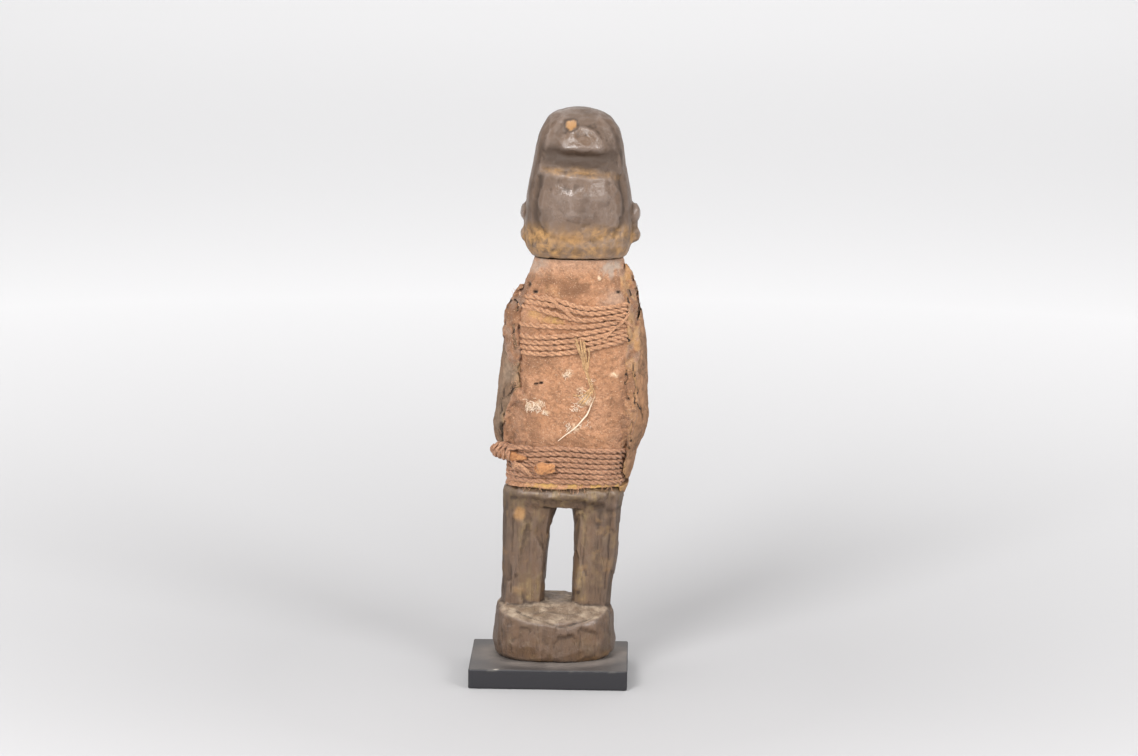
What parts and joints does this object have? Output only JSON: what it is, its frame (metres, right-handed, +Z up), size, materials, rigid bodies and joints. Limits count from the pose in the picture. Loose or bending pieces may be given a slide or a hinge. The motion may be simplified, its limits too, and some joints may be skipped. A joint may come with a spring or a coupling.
{
  "type": "carved power figure",
  "caption": "Carved wooden standing figure with a cloth-wrapped trunk, cord lashings and a hard packet over the chest, on a low black plinth.",
  "frame": {"origin": "centre of the plinth's flat underside", "axes": "+Z up, +Y the way the figure faces, +X towards the figure's right hand"},
  "size_m": [0.089, 0.0749, 0.2906],
  "materials": {
    "carved_wood": "dark handled patina with ochre dust in the cuts",
    "crusted_cloth": "stiff fibrous terracotta crust",
    "twisted_cord": "dusty twisted plant-fibre cord",
    "tan_hide": "dry tan hide",
    "pale_fibre": "pale bast fibre",
    "packet_crust": "hard cracked grey-brown crust",
    "black_paint": "satin black paint on wood, dusty on top"
  },
  "bodies": {
    "root": {"figure": "carved_wood", "wrapped_cloth": "crusted_cloth", "chest_lashing": "twisted_cord", "waist_lashing": "twisted_cord", "tucked_scrap": "tan_hide", "loose_strand": "pale_fibre", "packet": "packet_crust", "plinth": "black_paint"}
  },
  "joints": []
}
